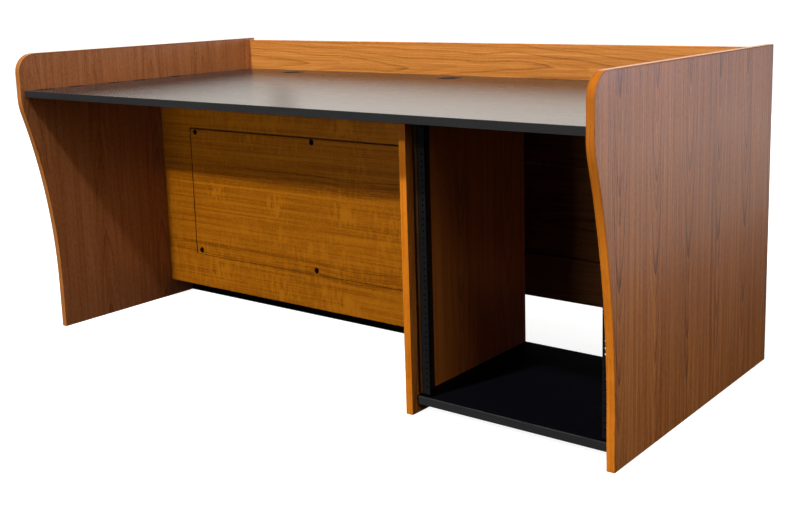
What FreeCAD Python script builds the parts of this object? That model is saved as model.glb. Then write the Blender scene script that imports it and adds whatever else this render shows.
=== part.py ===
import FreeCAD, Part
import Sketcher
import math
import os
import re
from FreeCAD import Placement, Rotation, Vector

# Workstation desk: two curved oak end panels, a black worktop set below
# their tops, a rear gallery, a knee space with a modesty panel and a
# 19-inch rack bay on the right.  Millimetres, +Z up, origin at the middle
# of the footprint on the floor, user side towards -Y, rack bay on +X.

doc = FreeCAD.newDocument("workstation_desk")
sheet = doc.addObject("Spreadsheet::Sheet", "Dims")

DIMS = [
    # overall envelope
    ("overall_width", 1867.0), ("overall_depth", 926.0), ("overall_height", 825.0),
    ("board", 19.0), ("band", 3.0), ("arris", 1.0),
    # front curve of the end panels
    ("foot_set", 86.0), ("foot_rise", 127.0), ("sweep_radius", 1794.0),
    ("nose_radius", 150.0), ("corner_radius", 54.0), ("band_round", 1.5),
    # worktop
    ("top_height", 720.0), ("top_set", 13.6),
    ("slot_length", 52.0), ("slot_width", 24.0), ("slot_inset", 3.0), ("slot_depth", 12.0), ("slot_corner", 3.0),
    ("slot_one", -390.0),
    ("slot_two", -288.0), ("slot_three", -147.0), ("slot_four", -45.0),
    ("slot_five", 93.0),
    ("port_pitch", 634.0), ("port_set", 83.0), ("port_bore", 32.25),
    ("liner_out", 32.0), ("liner_in", 29.0), ("liner_lip", 39.0), ("liner_rise", 2.5),
    ("liner_seat", 39.25),
    # rear wall
    ("gallery_drop", 7.0), ("upper_bottom", 472.0), ("rear_gap", 1.0),
    ("stretcher_low", 77.0), ("stretcher_high", 205.0), ("cleat_width", 30.0),
    # divider and rack bay
    ("bay_width", 517.5), ("divider_set", 106.0), ("divider_depth", 496.5),
    ("shelf_top", 43.0), ("shelf_board", 20.0), ("shelf_set", 124.0),
    # modesty panel and its access panel
    ("modesty_set", 499.5), ("modesty_low", 54.0),
    ("access_left", -780.0), ("access_right", 258.0),
    ("access_low", 159.0), ("access_high", 561.5), ("access_gap", 4.0),
    ("access_gap_low", 2.0), ("access_gap_high", 5.5),
    ("seat_clear", 0.3), ("batten_width", 45.0), ("batten_lap", 25.0),
    ("access_screw_inset", 21.0), ("access_screw_low", 12.5), ("access_screw_high", 9.0),
    # base rail behind the knee space
    ("kick_height", 89.0),
    # rack rails
    ("filler", 12.5), ("filler_depth", 48.0), ("rail_set", 131.0),
    ("rail_face", 21.0), ("rail_depth", 41.0), ("rail_gauge", 2.0),
    ("rail_low", 49.0), ("rail_length", 646.0), ("rack_unit", 44.45),
    ("rack_hole_one", 6.35), ("rack_hole_two", 22.225), ("rack_hole_three", 38.1),
    ("rack_hole", 2.5), ("rack_spacing", 465.1), ("rail_first", 61.0),
    ("rail_screw_row", 30.0), ("rail_screw_first", 60.0), ("rail_screw_pitch", 175.0),
    # fasteners
    ("dowel_radius", 4.0), ("dowel_bore", 4.1), ("dowel_face", 11.5),
    ("dowel_end", 23.0), ("dowel_room", 0.5),
    ("screw_radius", 2.0), ("screw_bore", 2.1), ("screw_clear", 2.4),
    ("bracket_leg", 36.0), ("bracket_width", 30.0), ("bracket_gauge", 2.5),
    ("bracket_hole", 24.0), ("bracket_screw", 15.0), ("head_radius", 4.0),
    ("head_rise", 2.4),
    ("washer_radius", 9.0), ("washer_top", 6.2), ("washer_rise", 3.0),
]
for row, (name, value) in enumerate(DIMS, start=1):
    sheet.set("A%d" % row, name)
    sheet.set("B%d" % row, repr(value))
    sheet.setAlias("B%d" % row, name)
doc.recompute()

D = dict(DIMS)
WORDS = re.compile(r"[A-Za-z_]+")


def cells(text):
    """Write a size in terms of the sheet's cells."""
    return WORDS.sub(lambda m: "Dims." + m.group(0) if m.group(0) in D else m.group(0), str(text))


def bind(obj, prop, text):
    obj.setExpression(prop, cells(text))


def place(obj, x, y, z):
    for axis, text in (("x", x), ("y", y), ("z", z)):
        bind(obj, "Placement.Base." + axis, text)


TURN = {
    "+x": Rotation(Vector(0, 1, 0), 90), "-x": Rotation(Vector(0, 1, 0), -90),
    "+y": Rotation(Vector(1, 0, 0), -90), "-y": Rotation(Vector(1, 0, 0), 90),
    "+z": Rotation(), "-z": Rotation(Vector(1, 0, 0), 180),
}


def box(name, x, y, z, length, width, height):
    o = doc.addObject("Part::Box", name)
    bind(o, "Length", length)
    bind(o, "Width", width)
    bind(o, "Height", height)
    place(o, x, y, z)
    return o


def cyl(name, way, x, y, z, radius, height):
    o = doc.addObject("Part::Cylinder", name)
    o.Placement = Placement(Vector(), TURN[way])
    bind(o, "Radius", radius)
    bind(o, "Height", height)
    place(o, x, y, z)
    return o


def cone(name, way, x, y, z, r1, r2, height):
    o = doc.addObject("Part::Cone", name)
    o.Placement = Placement(Vector(), TURN[way])
    bind(o, "Radius1", r1)
    bind(o, "Radius2", r2)
    bind(o, "Height", height)
    place(o, x, y, z)
    return o


def fuse(name, shapes):
    o = doc.addObject("Part::MultiFuse", name)
    o.Shapes = shapes
    return o


def cut(name, base, tools):
    o = doc.addObject("Part::Cut", name)
    o.Base = base
    if len(tools) == 1:
        o.Tool = tools[0]
    else:
        o.Tool = group(name + "_tools", tools)
    return o


def group(name, links):
    o = doc.addObject("Part::Compound", name)
    o.Links = links
    return o


def plane(body, role):
    return [f for f in body.Origin.OriginFeatures if f.Role == role][0]


def sketch_on(body, role, name):
    s = body.newObject("Sketcher::SketchObject", name)
    s.AttachmentSupport = (plane(body, role), [""])
    s.MapMode = "FlatFace"
    return s


def held(sk, kind, args, word, text):
    """A driving sketch dimension that reads its size from the sheet."""
    index = sk.addConstraint(Sketcher.Constraint(kind, *args))
    sk.renameConstraint(index, word)
    sk.setExpression("Constraints." + word, cells(text))


NODES = []


def node(obj, label, count=1):
    obj.Label = label
    NODES.append((obj, label, count))
    return obj


BORES = {}


def bore(board, tool):
    BORES.setdefault(board, []).append(tool)


# ---------------------------------------------------------------- end panels
def end_profile(sk, inset, spill):
    """Side view of an end panel: foot, sweep, nose, rounded top corner."""
    rear = D["overall_depth"] / 2 + spill
    foot = -D["overall_depth"] / 2 + D["foot_set"] + inset
    nose = -D["overall_depth"] / 2 + inset
    top = D["overall_height"] - inset
    r1 = D["sweep_radius"] + inset
    r2 = D["nose_radius"] - inset
    r3 = D["corner_radius"] - inset
    rise = D["foot_rise"]
    c1 = Vector(foot - r1, rise, 0)
    c2y = nose + r2
    c2 = Vector(c2y, rise + math.sqrt((r1 + r2) ** 2 - (c2y - c1.x) ** 2), 0)
    lean = math.atan2(c2.y - c1.y, c2.x - c1.x)
    c3 = Vector(nose + r3, top - r3, 0)
    up = Vector(0, 0, 1)
    sk.addGeometry([
        Part.LineSegment(Vector(rear, -spill, 0), Vector(foot, -spill, 0)),
        Part.LineSegment(Vector(foot, -spill, 0), Vector(foot, rise, 0)),
        Part.ArcOfCircle(Part.Circle(c1, up, r1), 0, lean),
        Part.ArcOfCircle(Part.Circle(c2, up, r2), math.pi, math.pi + lean),
        Part.LineSegment(Vector(nose, c2.y, 0), Vector(nose, c3.y, 0)),
        Part.ArcOfCircle(Part.Circle(c3, up, r3), math.pi / 2, math.pi),
        Part.LineSegment(Vector(c3.x, top, 0), Vector(rear, top, 0)),
        Part.LineSegment(Vector(rear, top, 0), Vector(rear, -spill, 0)),
    ], False)
    add = lambda *a: sk.addConstraint(Sketcher.Constraint(*a))
    add("Coincident", 0, 2, 1, 1)
    add("Tangent", 1, 2, 2, 1)
    add("Tangent", 2, 2, 3, 2)
    add("Tangent", 3, 1, 4, 1)
    add("Tangent", 4, 2, 5, 2)
    add("Tangent", 5, 1, 6, 1)
    add("Coincident", 6, 2, 7, 1)
    add("Coincident", 7, 2, 0, 1)
    add("Horizontal", 0)
    add("Vertical", 1)
    add("Vertical", 4)
    add("Horizontal", 6)
    add("Vertical", 7)
    if spill:
        held(sk, "DistanceY", (0, 1, -1, 1, spill), "under", str(spill))
    else:
        add("PointOnObject", 0, 1, -1)
    held(sk, "DistanceX", (-1, 1, 0, 1, rear), "rear", "overall_depth/2 + %g" % spill)
    held(sk, "DistanceX", (0, 2, -1, 1, -foot), "foot", "overall_depth/2 - foot_set - %g" % inset)
    held(sk, "DistanceX", (4, 1, -1, 1, -nose), "nose", "overall_depth/2 - %g" % inset)
    held(sk, "DistanceY", (-1, 1, 1, 2, rise), "rise", "foot_rise")
    held(sk, "DistanceY", (-1, 1, 6, 2, top), "top", "overall_height - %g" % inset)
    held(sk, "Radius", (2, r1), "sweep", "sweep_radius + %g" % inset)
    held(sk, "Radius", (3, r2), "bow", "nose_radius - %g" % inset)
    held(sk, "Radius", (5, r3), "corner", "corner_radius - %g" % inset)


def rounded(body, feature, radius, keep):
    """Ease the edges of a feature that keep(edge) picks."""
    doc.recompute()
    names = ["Edge%d" % (i + 1) for i, e in enumerate(feature.Shape.Edges) if keep(e)]
    f = body.newObject("PartDesign::Fillet", feature.Name + "_ease")
    f.Base = (feature, names)
    bind(f, "Radius", radius)
    feature.Visibility = False
    body.Tip = f
    return f


def end_board(name, x):
    body = doc.addObject("PartDesign::Body", name + "_body")
    sk = sketch_on(body, "YZ_Plane", name + "_outline")
    end_profile(sk, D["band"], 0.0)
    pad = body.newObject("PartDesign::Pad", name + "_pad")
    pad.Profile = sk
    bind(pad, "Length", "board")
    body.Tip = pad
    bind(body, "Placement.Base.x", x)
    # the outline stops one band thickness inside the finished shape, so the
    # rear and bottom edges are the raw edges of the board
    return body


def end_band(name, x):
    body = doc.addObject("PartDesign::Body", name)
    outer = sketch_on(body, "YZ_Plane", name + "_outer")
    end_profile(outer, 0.0, 0.0)
    pad = body.newObject("PartDesign::Pad", name + "_pad")
    pad.Profile = outer
    bind(pad, "Length", "board")
    doc.recompute()
    inner = sketch_on(body, "YZ_Plane", name + "_inner")
    end_profile(inner, D["band"], 6.0)
    pocket = body.newObject("PartDesign::Pocket", name + "_core")
    pocket.Profile = inner
    pocket.Type = 1
    pocket.Midplane = True
    body.Tip = pocket
    doc.recompute()
    front = -D["overall_depth"] / 2
    crown = D["overall_height"]

    def on_outside(e):
        # long edges of the outer skin: constant x, not on the inner skin
        if e.BoundBox.XLength > 0.01:
            return False
        p = e.valueAt((e.FirstParameter + e.LastParameter) / 2)
        q = e.BoundBox
        if abs(q.ZMax - crown) < 0.01 and (q.ZLength < 0.01 or q.YMin < front + 60):
            return q.YLength > 5
        foot = front + D["foot_set"]
        r1, rise = D["sweep_radius"], D["foot_rise"]
        if p.z < rise:
            return abs(p.y - foot) < 0.01 and q.ZLength > 5
        d1 = math.hypot(p.y - (foot - r1), p.z - rise)
        if abs(d1 - r1) < 0.01 and q.ZLength > 50:
            return True
        r2 = D["nose_radius"]
        zc = rise + math.sqrt((r1 + r2) ** 2 - (front + r2 - foot + r1) ** 2)
        d2 = math.hypot(p.y - (front + r2), p.z - zc)
        return abs(d2 - r2) < 0.01 or (abs(p.y - front) < 0.01 and q.ZLength > 5)

    rounded(body, pocket, "band_round", on_outside)
    bind(body, "Placement.Base.x", x)
    return body


LEFT_OUT = "-overall_width/2"
LEFT_IN = "-overall_width/2 + board"
RIGHT_IN = "overall_width/2 - board"
DIV_RIGHT = "overall_width/2 - board - bay_width"
DIV_LEFT = "overall_width/2 - 2*board - bay_width"
FRONT = "-overall_depth/2"
REAR = "overall_depth/2"
GALLERY = "overall_depth/2 - board"
TOP_UNDER = "top_height - board"
INSIDE = "overall_width - 2*board"
DIV_REAR = "-overall_depth/2 + divider_set + divider_depth"
MOD_FRONT = "-overall_depth/2 + modesty_set"

left_body = end_board("left_end", LEFT_OUT)
right_body = end_board("right_end", RIGHT_IN)
node(end_band("left_end_edge_band", LEFT_OUT), "left_end_edge_band")
node(end_band("right_end_edge_band", RIGHT_IN), "right_end_edge_band")


# ------------------------------------------------------------- straight bands
def strip(name, role, length, u0, u1, v0, v1, keep, at):
    """A straight edge band: rectangle u0..u1 by v0..v1 padded by length."""
    body = doc.addObject("PartDesign::Body", name)
    sk = sketch_on(body, role, name + "_section")
    a, b = D["band"], D["board"]
    sk.addGeometry([
        Part.LineSegment(Vector(0, 0, 0), Vector(20, 0, 0)),
        Part.LineSegment(Vector(20, 0, 0), Vector(20, 10, 0)),
        Part.LineSegment(Vector(20, 10, 0), Vector(0, 10, 0)),
        Part.LineSegment(Vector(0, 10, 0), Vector(0, 0, 0)),
    ], False)
    add = lambda *c: sk.addConstraint(Sketcher.Constraint(*c))
    for i in range(4):
        add("Coincident", i, 2, (i + 1) % 4, 1)
    add("Horizontal", 0)
    add("Vertical", 1)
    add("Horizontal", 2)
    add("Vertical", 3)
    add("Coincident", 0, 1, -1, 1)
    held(sk, "DistanceX", (0, 1, 0, 2, 20.0), "wide", "(%s) - (%s)" % (u1, u0))
    held(sk, "DistanceY", (1, 1, 1, 2, 10.0), "high", "(%s) - (%s)" % (v1, v0))
    pad = body.newObject("PartDesign::Pad", name + "_pad")
    pad.Profile = sk
    bind(pad, "Length", length)
    body.Tip = pad
    rounded(body, pad, "arris", keep)
    place(body, *at)
    return body


def along_x_front(e):
    b = e.BoundBox
    return b.XLength > 100 and b.YMax < 0.01


def along_x_top(e):
    b = e.BoundBox
    return b.XLength > 100 and b.ZMin > D["band"] - 0.01


def along_z_front(e):
    b = e.BoundBox
    return b.ZLength > 100 and b.YMax < 0.01


node(strip("worktop_edge_band", "YZ_Plane", INSIDE, "0", "band", "0", "board", along_x_front,
           (LEFT_IN, FRONT + " + top_set", TOP_UNDER)), "worktop_edge_band")
node(strip("base_shelf_edge_band", "YZ_Plane", "bay_width", "0", "band", "0", "shelf_board",
           along_x_front, (DIV_RIGHT, FRONT + " + shelf_set", "shelf_top - shelf_board")),
     "base_shelf_edge_band")
node(strip("rear_panel_edge_band", "YZ_Plane", INSIDE, "0", "board", "0", "band", along_x_top,
           (LEFT_IN, GALLERY, "overall_height - gallery_drop - band")), "rear_panel_edge_band")
node(strip("divider_edge_band", "XY_Plane", TOP_UNDER, "0", "board", "0", "band", along_z_front,
           (DIV_LEFT, FRONT + " + divider_set", "0")), "divider_edge_band")

# -------------------------------------------------------------------- boards
BOARDS = {}
BOARDS["left_end_panel"] = left_body
BOARDS["right_end_panel"] = right_body
BOARDS["worktop"] = box(
    "worktop_board", LEFT_IN, FRONT + " + top_set + band", TOP_UNDER,
    INSIDE, "overall_depth - board - top_set - band", "board")
BOARDS["divider_panel"] = box(
    "divider_board", DIV_LEFT, FRONT + " + divider_set + band", "0",
    "board", "divider_depth - band", TOP_UNDER)
BOARDS["base_shelf"] = box(
    "shelf_board_blank", DIV_RIGHT, FRONT + " + shelf_set + band", "shelf_top - shelf_board",
    "bay_width", "divider_set + divider_depth - shelf_set - band", "shelf_board")
BOARDS["rear_panel"] = box(
    "rear_board", LEFT_IN, GALLERY, "upper_bottom",
    INSIDE, "board", "overall_height - gallery_drop - band - upper_bottom")
BOARDS["rear_stretcher"] = box(
    "stretcher_board", LEFT_IN, GALLERY + " - board", "stretcher_low",
    INSIDE, "board", "stretcher_high - stretcher_low")
BOARDS["modesty_panel"] = box(
    "modesty_board", LEFT_IN, MOD_FRONT, "modesty_low",
    "overall_width - 3*board - bay_width", "board", TOP_UNDER + " - modesty_low")
BOARDS["base_rail"] = box(
    "kick_board", LEFT_IN, DIV_REAR + " - board", "0",
    "overall_width - 3*board - bay_width", "board", "kick_height")

# opening in the modesty panel
bore("modesty_panel", box(
    "modesty_opening", "access_left - access_gap", MOD_FRONT + " - 5", "access_low - access_gap_low",
    "access_right - access_left + 2*access_gap", "board + 10",
    "access_high - access_low + access_gap_low + access_gap_high"))

# recesses with eased corners in the worktop's face, close to its left edge
for word in ("slot_one", "slot_two", "slot_three", "slot_four", "slot_five"):
    x0, y0 = LEFT_IN + " + slot_inset", word + " - slot_length/2"
    low, high = "top_height - slot_depth", "slot_depth + 5"
    tools = [box(word + "_mid", x0, y0 + " + slot_corner", low,
                 "slot_width", "slot_length - 2*slot_corner", high),
             box(word + "_run", x0 + " + slot_corner", y0, low,
                 "slot_width - 2*slot_corner", "slot_length", high)]
    for i, (a, b) in enumerate((("slot_corner", "slot_corner"),
                                ("slot_width - slot_corner", "slot_corner"),
                                ("slot_corner", "slot_length - slot_corner"),
                                ("slot_width - slot_corner", "slot_length - slot_corner"))):
        tools.append(cyl("%s_corner%d" % (word, i), "+z", x0 + " + " + a, y0 + " + " + b, low, "slot_corner", high))
    bore("worktop", fuse(word + "_cut", tools))

# three round cable ports near the gallery, each with an open plastic liner
# whose lip lies in a rebate, level with the worktop
liners = []
for i, x in enumerate(("-port_pitch", "0", "port_pitch")):
    bore("worktop", fuse("port_cut_%d" % i, [
        cyl("port_bore_%d" % i, "+z", x, GALLERY + " - port_set", TOP_UNDER + " - 5",
            "port_bore", "board + 10"),
        cyl("port_rebate_%d" % i, "+z", x, GALLERY + " - port_set", "top_height - liner_rise",
            "liner_seat", "liner_rise + 5")]))
    body = doc.addObject("PartDesign::Body", "port_liner_%d" % i)
    sk = sketch_on(body, "XZ_Plane", "port_liner_%d_section" % i)
    ri, ro, rl, up = D["liner_in"], D["liner_out"], D["liner_lip"], D["liner_rise"]
    deep = up - D["board"]
    pts = [(ri, deep), (ro, deep), (ro, 0), (rl, 0), (rl, 1.9), (rl - 0.6, up), (ri + 1.5, up), (ri, up - 1.5)]
    n = len(pts)
    sk.addGeometry([Part.LineSegment(Vector(*pts[k], 0), Vector(*pts[(k + 1) % n], 0)) for k in range(n)], False)
    add = lambda *c: sk.addConstraint(Sketcher.Constraint(*c))
    for k in range(n):
        add("Coincident", k, 2, (k + 1) % n, 1)
    add("Horizontal", 0)
    add("Vertical", 1)
    add("Horizontal", 2)
    add("Vertical", 3)
    add("Horizontal", 5)
    add("Vertical", 7)
    add("PointOnObject", 2, 1, -1)
    held(sk, "DistanceX", (-1, 1, 0, 1, ri), "inside", "liner_in")
    held(sk, "DistanceX", (-1, 1, 0, 2, ro), "barrel", "liner_out")
    held(sk, "DistanceX", (-1, 1, 3, 1, rl), "lip", "liner_lip")
    held(sk, "DistanceY", (0, 1, -1, 1, -deep), "depth", "board - liner_rise")
    held(sk, "DistanceY", (-1, 1, 5, 1, up), "rise", "liner_rise")
    held(sk, "DistanceY", (3, 1, 3, 2, 1.9), "wall", "liner_rise - 0.6")
    held(sk, "DistanceX", (4, 2, 4, 1, 0.6), "slope", "0.6")
    held(sk, "DistanceX", (7, 1, 5, 2, 1.5), "lead", "1.5")
    held(sk, "DistanceY", (7, 1, 5, 2, 1.5), "drop", "1.5")
    rev = body.newObject("PartDesign::Revolution", "port_liner_%d_turn" % i)
    rev.Profile = sk
    rev.ReferenceAxis = (sk, ["V_Axis"])
    rev.Angle = 360
    body.Tip = rev
    place(body, x, GALLERY + " - port_set", "top_height - liner_rise")
    liners.append(body)
node(group("port_liners", liners), "port_liners", 3)


# -------------------------------------------------------------- dowel joints
dowels = []


def dowel(way, face_board, end_board_name, x, y, z):
    """A dowel across a butt joint at x: 'way' points into the end grain."""
    i = len(dowels)
    sign = 1 if way == "+x" else -1
    back = "(%s) - (%d)*dowel_face" % (x, sign)
    dowels.append(cyl("dowel_%d" % i, way, back, y, z, "dowel_radius", "dowel_face + dowel_end"))
    deep = "(%s) - (%d)*(dowel_face + dowel_room)" % (x, sign)
    bore(face_board, cyl("dowel_face_%d" % i, way, deep, y, z, "dowel_bore", "dowel_face + dowel_room"))
    bore(end_board_name, cyl("dowel_end_%d" % i, way, x, y, z, "dowel_bore", "dowel_end + dowel_room"))


MOD_MID = MOD_FRONT + " + board/2"
KICK_MID = DIV_REAR + " - board/2"
SHELF_MID = "shelf_top - shelf_board/2"
for z in ("90", "280", "470", "660"):
    dowel("+x", "left_end_panel", "modesty_panel", LEFT_IN, MOD_MID, z)
    dowel("-x", "divider_panel", "modesty_panel", DIV_LEFT, MOD_MID, z)
for z in ("25", "65"):
    dowel("+x", "left_end_panel", "base_rail", LEFT_IN, KICK_MID, z)
    dowel("-x", "divider_panel", "base_rail", DIV_LEFT, KICK_MID, z)
for y in ("-300", "-170", "-40", "95"):
    dowel("+x", "divider_panel", "base_shelf", DIV_RIGHT, y, SHELF_MID)
    dowel("-x", "right_end_panel", "base_shelf", RIGHT_IN, y, SHELF_MID)
for z in ("110", "172"):
    dowel("+x", "left_end_panel", "rear_stretcher", LEFT_IN, GALLERY + " - board/2", z)
    dowel("-x", "right_end_panel", "rear_stretcher", RIGHT_IN, GALLERY + " - board/2", z)
for z in ("520", "640", "770"):
    dowel("+x", "left_end_panel", "rear_panel", LEFT_IN, GALLERY + " + board/2", z)
    dowel("-x", "right_end_panel", "rear_panel", RIGHT_IN, GALLERY + " + board/2", z)
for y in ("-339", "-217", "24", "300"):
    dowel("+x", "left_end_panel", "worktop", LEFT_IN, y, TOP_UNDER + " + board/2")
    dowel("-x", "right_end_panel", "worktop", RIGHT_IN, y, TOP_UNDER + " + board/2")
node(group("joint_dowels", dowels), "joint_dowels", len(dowels))


# --------------------------------------------- angle brackets under the worktop
brackets, bracket_screws = [], []
OPP = {"+x": "-x", "-x": "+x", "+y": "-y", "-y": "+y"}


def pan_screw(name, way, x, y, z, length):
    """Pan-head wood screw: the head's seat is at x, y, z, the shank runs along way."""
    shank = cyl(name + "_shank", way, x, y, z, "screw_radius", length)
    anti = {"+x": "-x", "-x": "+x", "+y": "-y", "-y": "+y", "+z": "-z", "-z": "+z"}[way]
    head = cone(name + "_head", anti, x, y, z, "head_radius", "head_radius - 1", "head_rise")
    return fuse(name, [shank, head])


def bracket(board, way, x, y):
    """A steel angle: one leg on the board's face, one under the worktop.

    'way' points from the board's face into the open.
    """
    i = len(brackets)
    w, g, leg = "bracket_width", "bracket_gauge", "bracket_leg"
    sign = 1 if way[0] == "+" else -1
    if way[1] == "x":
        x0 = x if sign > 0 else "(%s) - bracket_gauge" % x
        x1 = x if sign > 0 else "(%s) - bracket_leg" % x
        up = box("bracket_%d_up" % i, x0, "(%s) - bracket_width/2" % y, TOP_UNDER + " - bracket_leg", g, w, leg)
        flat = box("bracket_%d_flat" % i, x1, "(%s) - bracket_width/2" % y, TOP_UNDER + " - bracket_gauge", leg, w, g)
        hx, hy = "(%s) + (%d)*bracket_hole" % (x, sign), y
        sx, sy = "(%s) + (%d)*bracket_gauge" % (x, sign), y
    else:
        y0 = y if sign > 0 else "(%s) - bracket_gauge" % y
        y1 = y if sign > 0 else "(%s) - bracket_leg" % y
        up = box("bracket_%d_up" % i, "(%s) - bracket_width/2" % x, y0, TOP_UNDER + " - bracket_leg", w, g, leg)
        flat = box("bracket_%d_flat" % i, "(%s) - bracket_width/2" % x, y1, TOP_UNDER + " - bracket_gauge", w, leg, g)
        hx, hy = x, "(%s) + (%d)*bracket_hole" % (y, sign)
        sx, sy = x, "(%s) + (%d)*bracket_gauge" % (y, sign)
    hz = TOP_UNDER + " - bracket_hole"
    into = OPP[way]
    holes = [cyl("bracket_%d_hole_a" % i, "+z", hx, hy, TOP_UNDER + " - 6", "screw_bore", "12"),
             cyl("bracket_%d_hole_b" % i, into,
                 "(%s) + (%d)*6" % (x, sign) if way[1] == "x" else x,
                 y if way[1] == "x" else "(%s) + (%d)*6" % (y, sign), hz, "screw_bore", "12")]
    brackets.append(cut("bracket_%d" % i, fuse("bracket_%d_angle" % i, [up, flat]), holes))
    bracket_screws.append(pan_screw("bracket_%d_screw_a" % i, "+z", hx, hy, TOP_UNDER + " - bracket_gauge", "bracket_screw"))
    bracket_screws.append(pan_screw("bracket_%d_screw_b" % i, into, sx, sy, hz, "bracket_screw"))
    bore("worktop", cyl("bracket_%d_pilot_a" % i, "+z", hx, hy, TOP_UNDER, "screw_bore", "bracket_screw - bracket_gauge + 0.5"))
    bore(board, cyl("bracket_%d_pilot_b" % i, into, x, y, hz, "screw_bore", "bracket_screw - bracket_gauge + 0.5"))


bracket("left_end_panel", "+x", LEFT_IN, "-100")
bracket("left_end_panel", "+x", LEFT_IN, "250")
bracket("right_end_panel", "-x", RIGHT_IN, "-100")
bracket("right_end_panel", "-x", RIGHT_IN, "250")
bracket("divider_panel", "+x", DIV_RIGHT, "-60")
bracket("divider_panel", "+x", DIV_RIGHT, "90")
bracket("rear_panel", "-y", "-317", GALLERY)
bracket("rear_panel", "-y", "317", GALLERY)
bracket("modesty_panel", "+y", "-690", MOD_FRONT + " + board")
bracket("modesty_panel", "+y", "140", MOD_FRONT + " + board")
node(group("worktop_brackets", brackets), "worktop_brackets", len(brackets))
node(group("bracket_screws", bracket_screws), "bracket_screws", len(bracket_screws))

# ------------------------------------------------------- modesty access panel
AX0, AX1, AZ0, AZ1 = "access_left", "access_right", "access_low", "access_high"
BATTEN_Y = MOD_FRONT + " + board"
access_holes, battens_long, battens_short = [], [], []
access_screws, access_washers = [], []
screw_x = [AX0 + " + access_screw_inset", "(access_left + access_right)/2", AX1 + " - access_screw_inset"]
pilot = {"low": [], "high": []}
for row, z in (("low", AZ0 + " + access_screw_low"), ("high", AZ1 + " - access_screw_high")):
    for k, x in enumerate(screw_x):
        tag = "access_%s_%d" % (row, k)
        access_holes.append(cyl(tag + "_hole", "+y", x, MOD_FRONT + " - 5", z, "screw_clear", "board + 10"))
        pilot[row].append(cyl(tag + "_pilot", "+y", x, BATTEN_Y + " - 5", z, "screw_clear", "board + 10"))
        # cup washer standing on the panel's face, dished for the head
        cup = cone(tag + "_cup", "-y", x, MOD_FRONT, z, "washer_radius", "washer_top", "washer_rise")
        dish = cone(tag + "_dish", "-y", x, MOD_FRONT + " - 0.4", z, "screw_clear", "washer_top - 0.5", "washer_rise - 0.4")
        eye = cyl(tag + "_eye", "-y", x, MOD_FRONT + " + 1", z, "screw_clear", "washer_rise + 2")
        access_washers.append(cut(tag + "_washer", cup, [dish, eye]))
        # raised countersunk head with a cross recess
        shank = cyl(tag + "_shank", "+y", x, MOD_FRONT + " - 1.2", z, "screw_radius", "board + 15")
        taper = cone(tag + "_taper", "-y", x, MOD_FRONT + " - 0.5", z, "screw_radius", "washer_top - 0.7", "washer_rise - 0.5")
        dome = cone(tag + "_dome", "-y", x, MOD_FRONT + " - washer_rise", z, "washer_top - 0.7", "washer_top - 2.4", "1.3")
        slot_a = box(tag + "_cross_a", "(%s) - 2.2" % x, MOD_FRONT + " - washer_rise - 2", "(%s) - 0.45" % z, "4.4", "2", "0.9")
        slot_b = box(tag + "_cross_b", "(%s) - 0.45" % x, MOD_FRONT + " - washer_rise - 2", "(%s) - 2.2" % z, "0.9", "2", "4.4")
        access_screws.append(cut(tag + "_screw", fuse(tag + "_blank", [shank, taper, dome]),
                                 [fuse(tag + "_cross", [slot_a, slot_b])]))
panel = box("access_board", AX0, MOD_FRONT, AZ0, "access_right - access_left",
            "board - seat_clear", "access_high - access_low")
node(cut("modesty_access_panel", panel, access_holes), "modesty_access_panel")
node(group("access_panel_screws", access_screws), "access_panel_screws", 6)
node(group("access_panel_washers", access_washers), "access_panel_washers", 6)

# battens behind the opening, lapping inside it to carry the screws
for row, z in (("low", AZ0 + " - access_gap_low + batten_lap - batten_width"),
               ("high", AZ1 + " + access_gap_high - batten_lap")):
    blank = box("batten_%s_blank" % row, "access_left - access_gap - batten_width + batten_lap", BATTEN_Y, z,
                "access_right - access_left + 2*access_gap + 2*batten_width - 2*batten_lap", "board", "batten_width")
    battens_long.append(cut("batten_%s" % row, blank, pilot[row]))
for side, x in (("left", AX0 + " - access_gap + batten_lap - batten_width"),
                ("right", AX1 + " + access_gap - batten_lap")):
    battens_short.append(box("batten_%s" % side, x, BATTEN_Y,
                             AZ0 + " - access_gap_low + batten_lap", "batten_width", "board",
                             "access_high - access_low + access_gap_low + access_gap_high - 2*batten_lap"))
node(group("access_battens_long", battens_long), "access_battens_long", 2)
node(group("access_battens_short", battens_short), "access_battens_short", 2)

# ---------------------------------------------------------- rear access panel
rear_holes, rear_screws = [], []
SEAT_Y = GALLERY
for k, (x, z, board) in enumerate((
        (LEFT_IN + " + 15", "300", "rear_cleat_left"), (LEFT_IN + " + 15", "430", "rear_cleat_left"),
        (RIGHT_IN + " - 15", "300", "rear_cleat_right"), (RIGHT_IN + " - 15", "430", "rear_cleat_right"),
        ("-750", "140", "rear_stretcher"), ("-250", "140", "rear_stretcher"),
        ("250", "140", "rear_stretcher"), ("750", "140", "rear_stretcher"))):
    tag = "rear_screw_%d" % k
    rear_holes.append(fuse(tag + "_hole", [
        cyl(tag + "_way", "-y", x, REAR + " + 2", z, "screw_clear", "board + 4"),
        cone(tag + "_sink", "-y", x, REAR, z, "head_radius + 0.4", "screw_clear", "2.4")]))
    bore(board, cyl(tag + "_pilot", "-y", x, SEAT_Y, z, "screw_clear", "16"))
    shank = cyl(tag + "_shank", "-y", x, REAR + " - 1", z, "screw_radius", "board + 13")
    head = cone(tag + "_head", "-y", x, REAR + " - 0.2", z, "head_radius", "screw_radius", "2.1")
    a = box(tag + "_cross_a", "(%s) - 2.2" % x, REAR + " - 1.2", "(%s) - 0.45" % z, "4.4", "2", "0.9")
    b = box(tag + "_cross_b", "(%s) - 0.45" % x, REAR + " - 1.2", "(%s) - 2.2" % z, "0.9", "2", "4.4")
    rear_screws.append(cut(tag, fuse(tag + "_blank", [shank, head]), [fuse(tag + "_cross", [a, b])]))
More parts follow.
